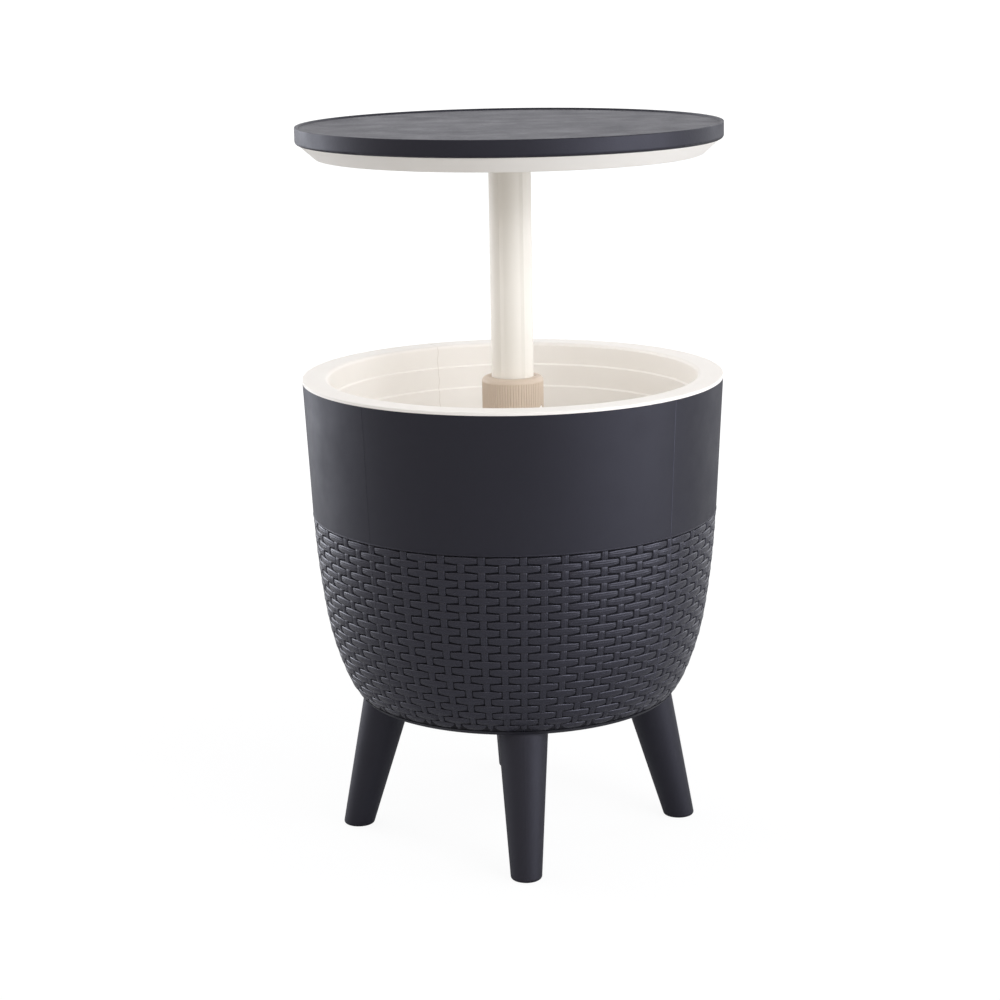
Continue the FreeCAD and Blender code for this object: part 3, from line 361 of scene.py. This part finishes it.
def newPiece(name, points, faces, slot, body, finish=None):
    mesh = bpy.data.meshes.new(name)
    mesh.from_pydata([tuple(point) for point in points], [], faces)
    mesh.validate()
    mesh.update()
    mesh.shade_smooth()
    mesh.set_sharp_from_angle(angle=math.radians(sharpAngle))
    piece = bpy.data.objects.new(name, mesh)
    scene.collection.objects.link(piece)
    mesh.materials.append(finish or finishes[slot])
    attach(piece, body)
    return piece


# Faces of a long thin piece made of several lines of points, closed round and at both ends
def longStrip(count, sides):
    faces = []
    for side in range(sides):
        a, b = side * count, (side + 1) % sides * count
        for i in range(count - 1):
            faces.append((a + i, a + i + 1, b + i + 1, b + i))
    faces.append(tuple(side * count for side in range(sides)))
    faces.append(tuple((side + 1) * count - 1 for side in reversed(range(sides))))
    return faces


# A strand's front is a grid of points, and its back is the same edge at the roots.
def closedStrip(front, roots):
    rows, columns = front.shape[:2]
    edge = list(range(columns))
    edge += [i * columns + columns - 1 for i in range(1, rows)]
    edge += [(rows - 1) * columns + j for j in range(columns - 2, -1, -1)]
    edge += [i * columns for i in range(rows - 2, 0, -1)]
    count = rows * columns
    points = list(front.reshape(-1, 3)) + [roots.reshape(-1, 3)[corner] for corner in edge]
    faces = []
    for i in range(rows - 1):
        for j in range(columns - 1):
            a = i * columns + j
            faces.append((a, a + 1, a + columns + 1, a + columns))
    for i, here in enumerate(edge):
        after = (i + 1) % len(edge)
        faces.append((edge[after], here, count + i, count + after))
    faces.append(tuple(range(count, count + len(edge))))
    return points, faces


def joined(parts):
    points = []
    faces = []
    offset = 0
    for morePoints, moreFaces in parts:
        points.append(np.array(morePoints))
        faces += [tuple(corner + offset for corner in face) for face in moreFaces]
        offset += len(morePoints)
    return np.concatenate(points), faces


def aroundTable(points, faces, turns):
    points = np.array(points)
    copies = []
    for turn in turns:
        angle = math.radians(turn)
        spin = np.array([[math.cos(angle), -math.sin(angle), 0],
                         [math.sin(angle), math.cos(angle), 0], [0, 0, 1]])
        copies.append((points @ spin.T, faces))
    return joined(copies)


# The shell's side in millimetres: a straight band with draft, then three arcs from the foot
# of the band down to the base
bowl = {
    "rimHeight": 557.0,
    "rimRadius": 248.2,
    "bandFoot": 393.6,
    "arcs": (1054.0, 337.5, 88.6),          # radii
    "leans": (2.76, 9.2, 23.25, 43.73),     # degrees off upright, the band's first
}


def bandSide(height, out):
    lean = math.radians(bowl["leans"][0])
    radius = bowl["rimRadius"] - (bowl["rimHeight"] - height) * math.tan(lean)
    return radius + out * math.cos(lean), height - out * math.sin(lean)


def bowlSide(along, out):
    lean = math.radians(bowl["leans"][0])
    across = bowl["rimRadius"] - (bowl["rimHeight"] - bowl["bandFoot"]) * math.tan(lean)
    across -= bowl["arcs"][0] * math.cos(lean)
    height = bowl["bandFoot"] + bowl["arcs"][0] * math.sin(lean)
    last = len(bowl["arcs"]) - 1
    for number, radius in enumerate(bowl["arcs"]):
        lean = math.radians(bowl["leans"][number])
        if number:
            drop = bowl["arcs"][number - 1] - radius
            across += drop * math.cos(lean)
            height -= drop * math.sin(lean)
        length = radius * (math.radians(bowl["leans"][number + 1]) - lean)
        if along <= length or number == last:
            break
        along -= length
    lean += along / radius
    return across + (radius + out) * math.cos(lean), height - (radius + out) * math.sin(lean)


# The woven field, in millimetres where nothing else is said. Widths and lengths within a
# strand are shares, from 0 at its middle to 1 at its edge or end.
weave = {
    "stakes": 64,
    "rows": 23,
    "start": 0.9,               # below the foot of the band
    "firstRow": 9.309,
    "rowGrowth": 0.0443,        # each row is this much deeper than the one above
    "crown": 0.5,               # a strand's middle over its edges
    "edgeRound": 0.8,
    "edgeCuts": (0.8, 0.9, 0.97, 1.0),      # the first is where the edge starts to round
    "flute": 0.16,              # depth of the two flutes along a strand
    "flutePlace": 0.34,
    "fluteHalf": 0.1,
    "weftHalf": 4.52,           # degrees, half the length of a weft's visible span
    "weftGap": 0.26,
    "weftCuts": (0.45, 0.7),    # cross-sections between the taper's start and the tuck's
    "weftDip": 1.15,            # how far a weft's ends dive towards the neighbouring stakes
    "dipCurve": 2.3,
    "tuck": 0.45,               # and their last rounding
    "tuckCuts": (0.88, 0.95, 1.0),
    "taper": 0.26,              # share of its width that a weft loses towards its ends
    "taperStart": 0.28,
    "taperCurve": 1.6,
    "stakeHalf": 1.03,          # degrees, half the width of a stake
    "stakeCuts": (0.0, 0.14, 0.5, 0.86),    # cross-sections in each row, from its top
    "stakeOut": -0.45,          # a stake where it shows
    "stakeUnder": -1.6,         # and under a weft
    "stakeSwell": 0.1,          # its middle in a row where it shows
    "stakeWaist": 0.25,         # and between two rows
    "root": -3.0,               # the strands' backs, inside the shell's wall
}


def rowTop(number):
    growth = weave["rowGrowth"] * number * (number - 1) / 2
    return weave["start"] + number * weave["firstRow"] + growth


# Turns of every second strand round the table, in degrees, from the front leg on
def everySecond(first):
    pitch = 360 / weave["stakes"]
    return [-90 + pitch * first + 2 * pitch * number for number in range(weave["stakes"] // 2)]


def mirrored(side):
    return [-value for value in reversed(side)] + [0.0] + side


def strandWidths():
    place, half = weave["flutePlace"], weave["fluteHalf"]
    return mirrored([place - half, place, place + half, *weave["edgeCuts"]])


def strandCrown(width):
    edge = weave["edgeCuts"][0]
    rounding = max(0.0, (abs(width) - edge) / (1 - edge)) ** 2
    flute = max(0.0, 1 - abs(abs(width) - weave["flutePlace"]) / weave["fluteHalf"])
    return -weave["crown"] * width ** 2 - weave["edgeRound"] * rounding - weave["flute"] * flute


def bowlGrid(alongs, angles, outs):
    grid = np.zeros((len(alongs), len(angles), 3))
    for i, line in enumerate(alongs):
        for j, angle in enumerate(angles):
            radius, height = bowlSide(line[j], outs[i][j])
            turn = math.radians(angle)
            grid[i, j] = (radius * math.cos(turn) * mm, radius * math.sin(turn) * mm, height * mm)
    return grid


def strand(alongs, angles, outs):
    roots = [[weave["root"]] * len(angles)] * len(alongs)
    return closedStrip(bowlGrid(alongs, angles, outs), bowlGrid(alongs, angles, roots))


def wefts():
    widths = strandWidths()
    lengths = mirrored([weave["taperStart"], *weave["weftCuts"], *weave["tuckCuts"]])
    angles = [length * weave["weftHalf"] for length in lengths]
    taperStart, tuckStart = weave["taperStart"], weave["tuckCuts"][0]
    parts = []
    for row in range(weave["rows"]):
        top, bottom = rowTop(row), rowTop(row + 1)
        middle, half = (top + bottom) / 2, (bottom - top) / 2 - weave["weftGap"]
        alongs = []
        outs = []
        for width in widths:
            line = []
            out = []
            for length in lengths:
                slimmer = max(0, (abs(length) - taperStart) / (1 - taperStart))
                slim = 1 - weave["taper"] * slimmer ** weave["taperCurve"]
                line.append(middle + width * half * slim)
                tuck = weave["tuck"] * max(0, (abs(length) - tuckStart) / (1 - tuckStart)) ** 2
                dip = weave["weftDip"] * abs(length) ** weave["dipCurve"]
                out.append(strandCrown(width) - dip - tuck)
            alongs.append(line)
            outs.append(out)
        points, faces = strand(alongs, angles, outs)
        parts.append(aroundTable(points, faces, everySecond(1 - row % 2)))
    points, faces = joined(parts)
    finish = canePolypropylene("graphiteLevelCane", False)
    newPiece("woven_wefts", points, faces, "dark_resin", "tub", finish)


def stakes():
    widths = strandWidths()
    crowns = [strandCrown(width) for width in widths]
    angles = [width * weave["stakeHalf"] for width in widths]
    parts = []
    for parity in (0, 1):
        alongs = []
        outs = []
        for row in range(weave["rows"]):
            top, bottom = rowTop(row), rowTop(row + 1)
            covered = (row + parity) % 2 == 1
            for share in weave["stakeCuts"]:
                alongs.append([top + share * (bottom - top)] * len(widths))
                if share == 0.0:
                    out = weave["stakeOut"] - weave["stakeWaist"]
                elif covered:
                    out = weave["stakeUnder"]
                else:
                    out = weave["stakeOut"] + (weave["stakeSwell"] if share == 0.5 else 0)
                outs.append([out + crown for crown in crowns])
        alongs.append([rowTop(weave["rows"])] * len(widths))
        outs.append([weave["stakeOut"] - weave["stakeWaist"] + crown for crown in crowns])
        points, faces = strand(alongs, angles, outs)
        parts.append(aroundTable(points, faces, everySecond(parity)))
    points, faces = joined(parts)
    finish = canePolypropylene("graphiteUprightCane", True)
    newPiece("woven_stakes", points, faces, "dark_resin", "tub", finish)


wefts()
stakes()
print("woven field done")


# The shell's mould opens in four slides: a fine raised line is left where two of them meet,
# down the band and over the strands. Two of the four have worn and leave a thicker line,
# which is coloured lighter than the shell: a painted highlight along its ridge.
partingLine = {
    "worn": {"name": "shell_parting_lines", "turns": (-45, 135), "halfWidth": 0.6, "proud": 0.25},
    "sharp": {"name": "shell_slide_lines", "turns": (-135, 45), "halfWidth": 0.35, "proud": 0.12},
    "depth": 0.6,           # mm, its back lies this far in
    "topHeight": 553.2,
    "overFoot": 0.6,        # its last point on the band is this far above the band's foot
    "stakeCrown": 0.2,      # it runs flatter over a stake than over a weft
    # painted highlight: the worn line is coloured lighter than the shell
    "wornHighlightTone": "#3a3a45",
    "rounding": ((-1, 0.0), (-0.5, 1.0), (0.5, 1.0), (1, 0.0)),     # shares of width and height
}


def partingLines(kind, finish):
    line = partingLine[kind]
    proud, depth = line["proud"], partingLine["depth"]
    bandEnds = (partingLine["topHeight"], bowl["bandFoot"] + partingLine["overFoot"])
    outside = [bandSide(height, proud) for height in bandEnds]
    inside = [bandSide(height, -depth) for height in bandEnds]
    for row in range(weave["rows"]):
        top, bottom = rowTop(row), rowTop(row + 1)
        overWeft = row % 2
        for width in strandWidths()[1:-1]:
            along = (top + bottom) / 2 + width * (bottom - top) / 2
            out = strandCrown(width) if overWeft else (
                weave["stakeOut"] - partingLine["stakeCrown"] * width ** 2)
            outside.append(bowlSide(along, out + proud))
            inside.append(bowlSide(along, out - depth))
    points = []
    for side, rise in partingLine["rounding"]:
        share = proud / (proud + depth) * (1 - rise)
        for (radius, height), (backRadius, backHeight) in zip(outside, inside):
            points.append(((radius + (backRadius - radius) * share) * mm,
                           side * line["halfWidth"] * mm,
                           (height + (backHeight - height) * share) * mm))
    for side in (1, -1):
        for radius, height in inside:
            points.append((radius * mm, side * line["halfWidth"] * mm, height * mm))
    points, faces = aroundTable(points, longStrip(len(outside), 6), line["turns"])
    newPiece(line["name"], points, faces, "dark_resin", "tub", finish)


# A small roll stiffens the foot of the band, where it meets the woven field.
bandRoll = {"radius": 0.95, "proud": 0.4, "segments": 256, "sides": 12}


def rolledFoot():
    size, segments, sides = bandRoll["radius"], bandRoll["segments"], bandRoll["sides"]
    middle, height = bandSide(bowl["bandFoot"] + size, bandRoll["proud"] - size)
    sideTurns = [2 * math.pi * side / sides for side in range(sides)]
    outline = [(middle + size * math.cos(turn), height - size * math.sin(turn))
               for turn in sideTurns]
    points = []
    faces = []
    for i in range(segments):
        turn = 2 * math.pi * i / segments
        points += [(reach * math.cos(turn) * mm, reach * math.sin(turn) * mm, rise * mm)
                   for reach, rise in outline]
        shift = sides if i < segments - 1 else sides - segments * sides
        for j in range(sides):
            a, b = i * sides + j, i * sides + (j + 1) % sides
            faces.append((a, b, b + shift, a + shift))
    newPiece("band_foot_roll", points, faces, "dark_resin", "tub")


# The worn lines take the lighter tone, a painted highlight; the sharp ones keep the shell's own.
partingLines("worn", graphitePolypropylene(
    "graphiteFlashHighlight", graphite["grain"], graphite["grainHeight"],
    tone=partingLine["wornHighlightTone"], rubbed=partingLine["wornHighlightTone"]))
partingLines("sharp", finishes["dark_resin"])
rolledFoot()
print("shell's fine lines done")


# The liner's two mould halves meet at a witness line across the rim and down its wall.
# The line is coloured darker than the liner: painted shade along its ridge.
witnessLine = {
    "turn": 113.5,          # degrees
    "halfWidth": 0.3,       # mm, as the rest
    "proud": 0.1,
    "depth": 0.3,
    "rimOuter": 247.0,
    "rimInner": 219.0,
    "rimStep": 4.0,
    "overRim": 20.0,        # the rim is felt for from here
    "wallTop": 556.0,
    "wallFoot": 330.0,
    "wallStep": 1.0,
    "insideWall": 120.0,    # and the wall from this far off the axis
    "wander": 0.8,          # the line isn't quite straight
    "waves": (95, 260),     # radians of each wave in a metre of height
    # painted shade: darker than the liner, for the shade along the seam's ridge
    "tone": "#e4ded4",
}


def wander(height):
    slow, quick = witnessLine["waves"]
    return witnessLine["wander"] * math.sin(height * slow) * math.sin(height * quick)


def witness():
    tub = frame["nodes"]["inner_tub"]
    turn = math.radians(witnessLine["turn"])
    up = Vector((0, 0, 1))
    outward = Vector((math.cos(turn), math.sin(turn), 0))
    sideways = Vector((-outward.y, outward.x, 0))
    over = (bowl["rimHeight"] + witnessLine["overRim"]) * mm
    rays = []
    reach = witnessLine["rimOuter"]
    while reach >= witnessLine["rimInner"]:
        rays.append((outward * reach * mm + up * over, -up))
        reach -= witnessLine["rimStep"]
    height = witnessLine["wallTop"]
    while height >= witnessLine["wallFoot"]:
        rays.append((outward * witnessLine["insideWall"] * mm + up * height * mm, outward))
        height -= witnessLine["wallStep"]
    line = []
    for start, direction in rays:
        found, place = tub.ray_cast(start, direction)[:2]
        if found:
            line.append((place, -direction))
    points = []
    half, proud, depth = (witnessLine[key] for key in ("halfWidth", "proud", "depth"))
    for side, lift in ((-half, proud), (half, proud), (half, -depth), (-half, -depth)):
        points += [place + away * lift * mm + sideways * (side + wander(place.z)) * mm
                   for place, away in line]
    # The strip is coloured darker than the liner: painted shade.
    seamShade = dict(whiteResin, tone=witnessLine["tone"], patch=witnessLine["tone"])
    newPiece("tub_witness_line", points, longStrip(len(line), 4), "white_resin", "tub",
             mouldedSkin("seamShadedPolypropylene", seamShade, 1.49))


# White pointer set into the collar's notch
pointer = {
    "turn": -25.0,          # degrees
    "half": 11.2,           # mm, half its foot
    "height": 9.2,
    "overEdge": 0.3,        # above the collar's lower edge
    "edge": 0.05,           # height left at its two corners
    "inset": 0.7,
    "thickness": 1.6,
    "columns": 12,
}


def collarPointer():
    low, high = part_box("locking_collar")
    radius = (high[0] - low[0]) / 2 / mm - pointer["inset"]
    points = []
    for depth, slope in ((0, 0), (0, 1), (1, 1), (1, 0)):
        reach = (radius - depth * pointer["thickness"]) * mm
        for i in range(pointer["columns"] + 1):
            across = (2 * i / pointer["columns"] - 1) * pointer["half"]
            peak = pointer["edge"] + (1 - abs(across) / pointer["half"]) * pointer["height"]
            rise = pointer["overEdge"] + slope * peak
            turn = math.radians(pointer["turn"]) + across / radius
            points.append((reach * math.cos(turn), reach * math.sin(turn), low[2] + rise * mm))
    newPiece("collar_pointer", points, longStrip(pointer["columns"] + 1, 4),
             "white_resin", "collar")


witness()
collarPointer()
print("witness line and pointer done")


# Studio: a pale floor and a world that the camera sees white, and soft boxes for the light

studio = {
    "floorRadius": 70.0,        # metres
    "floorTone": "#bebebe",     # the real floor was dim: the shell's front stays dark
    "floorGlow": 0.8,           # share of even white that the camera sees near the table
    "whiteFrom": 0.7,           # metres from the table where the floor begins to turn plain white
    "whiteAt": 2.2,
    "glow": 1.14,
    "front": 0.66,              # light from the walls on the camera's side
    "back": 1.27,               # and from those behind the table
    "wallTurn": 0.7,            # share of Y where a wall counts as front or back
    "frontTone": "#fff9f1",
    "backTone": "#fcfcff",
    "zenith": 0.4,              # the ceiling gives less than the walls
    "ceilingFrom": 0.3,         # share of Z where the walls end
    "ceilingAt": 0.85,
    "boxTone": "#f3f7ff",
    "boxAim": 0.5,              # metres above the floor
}
boxKinds = {
    # degrees up, metres from the table, and the box's width and height
    "high": (30, 2.8, 1.3, 1.0),
    "low": (8, 2.4, 1.1, 1.8),
}
softboxes = {
    # kind, degrees from the camera round the table, radiance
    "keySoftbox": ("high", 38, 5.89),
    "frontHighSoftbox": ("high", -12, 1.39),
    "leftHighSoftbox": ("high", -75, 1.5),
    "frontRightSoftbox": ("low", 50, 1.87),
    "rightSoftbox": ("low", 75, 3.1),
    "backRightSoftbox": ("low", 130, 1.02),
    "leftSoftbox": ("low", -105, 1.6),
    "backLeftSoftbox": ("low", -130, 3),
}


def addSoftbox(name, kind, aside, radiance):
    rise, distance, width, height = boxKinds[kind]
    lamp = bpy.data.lights.new(name, "AREA")
    lamp.shape = "RECTANGLE"
    lamp.size = width
    lamp.size_y = height
    lamp.color = colour(studio["boxTone"])[:3]
    lamp.energy = radiance * math.pi * width * height
    box = bpy.data.objects.new(name, lamp)
    direction = turned(Vector((0, -1, 0)), aside - view["tableTurn"])
    up = math.radians(rise)
    direction = direction * math.cos(up) + Vector((0, 0, math.sin(up)))
    box.location = Vector((0, 0, studio["boxAim"])) + direction * distance
    box.rotation_euler = direction.to_track_quat("Z", "Y").to_euler()
    box.visible_camera = False
    scene.collection.objects.link(box)


def studioWorld():
    world = bpy.data.worlds.new("studio")
    scene.world = world
    world.use_nodes = True
    tree = world.node_tree
    tree.nodes.clear()
    ray = addNode(tree, "ShaderNodeLightPath")
    direction = addNode(tree, "ShaderNodeTexCoord").outputs["Generated"]
    parts = addNode(tree, "ShaderNodeSeparateXYZ", {"Vector": direction})
    share = addNode(tree, "ShaderNodeMapRange", {
        "Value": parts.outputs["Y"], "From Min": -studio["wallTurn"],
        "From Max": studio["wallTurn"]}, interpolation_type="SMOOTHSTEP")
    level = addNode(tree, "ShaderNodeMapRange", {
        "Value": share.outputs["Result"], "To Min": studio["front"], "To Max": studio["back"]})
    tint = addNode(tree, "ShaderNodeMix", {
        "Factor": share.outputs["Result"], "A": colour(studio["frontTone"]),
        "B": colour(studio["backTone"])}, data_type="RGBA")
    ceiling = addNode(tree, "ShaderNodeMapRange", {
        "Value": parts.outputs["Z"], "From Min": studio["ceilingFrom"],
        "From Max": studio["ceilingAt"], "To Min": 1.0, "To Max": studio["zenith"]},
        interpolation_type="SMOOTHSTEP")
    dimmed = addNode(tree, "ShaderNodeMath", {
        0: level.outputs["Result"], 1: ceiling.outputs["Result"]}, operation="MULTIPLY")
    around = addNode(tree, "ShaderNodeBackground", {
        "Color": tint.outputs["Result"], "Strength": dimmed.outputs[0]})
    white = addNode(tree, "ShaderNodeBackground", {"Color": (1, 1, 1, 1), "Strength": 1.0})
    seen = addNode(tree, "ShaderNodeMath", {
        0: ray.outputs["Is Camera Ray"], 1: ray.outputs["Is Transmission Ray"]},
        operation="MAXIMUM")
    mixed = addNode(tree, "ShaderNodeMixShader", {
        0: seen.outputs[0], 1: around.outputs[0], 2: white.outputs[0]})
    addNode(tree, "ShaderNodeOutputWorld", {"Surface": mixed.outputs[0]})


# Matt painted floor: the camera sees it evenly white, and all the more with distance, but
# the table still shades it.
def studioFloor():
    mesh = bpy.data.meshes.new("floor")
    edge = studio["floorRadius"]
    corners = [(-edge, -edge, 0), (edge, -edge, 0), (edge, edge, 0), (-edge, edge, 0)]
    mesh.from_pydata(corners, [], [(0, 1, 2, 3)])
    floor = bpy.data.objects.new("floor", mesh)
    scene.collection.objects.link(floor)
    material = bpy.data.materials.new("paintedFloor")
    material.use_nodes = True
    tree = material.node_tree
    tree.nodes.clear()
    ray = addNode(tree, "ShaderNodeLightPath")
    place = addNode(tree, "ShaderNodeTexCoord").outputs["Object"]
    paint = addNode(tree, "ShaderNodeBsdfDiffuse", {"Color": colour(studio["floorTone"])})
    glow = addNode(tree, "ShaderNodeEmission", {
        "Color": (1, 1, 1, 1), "Strength": studio["glow"]})
    reach = addNode(tree, "ShaderNodeVectorMath", {"Vector": place}, operation="LENGTH")
    share = addNode(tree, "ShaderNodeMapRange", {
        "Value": reach.outputs["Value"], "From Min": studio["whiteFrom"],
        "From Max": studio["whiteAt"], "To Min": studio["floorGlow"], "To Max": 1.0})
    seen = addNode(tree, "ShaderNodeMixShader", {
        0: share.outputs["Result"], 1: paint.outputs[0], 2: glow.outputs[0]})
    both = addNode(tree, "ShaderNodeMixShader", {
        0: ray.outputs["Is Camera Ray"], 1: paint.outputs[0], 2: seen.outputs[0]})
    addNode(tree, "ShaderNodeOutputMaterial", {"Surface": both.outputs[0]})
    mesh.materials.append(material)


for name, box in softboxes.items():
    addSoftbox(name, *box)
studioWorld()
studioFloor()
print("studio lit")
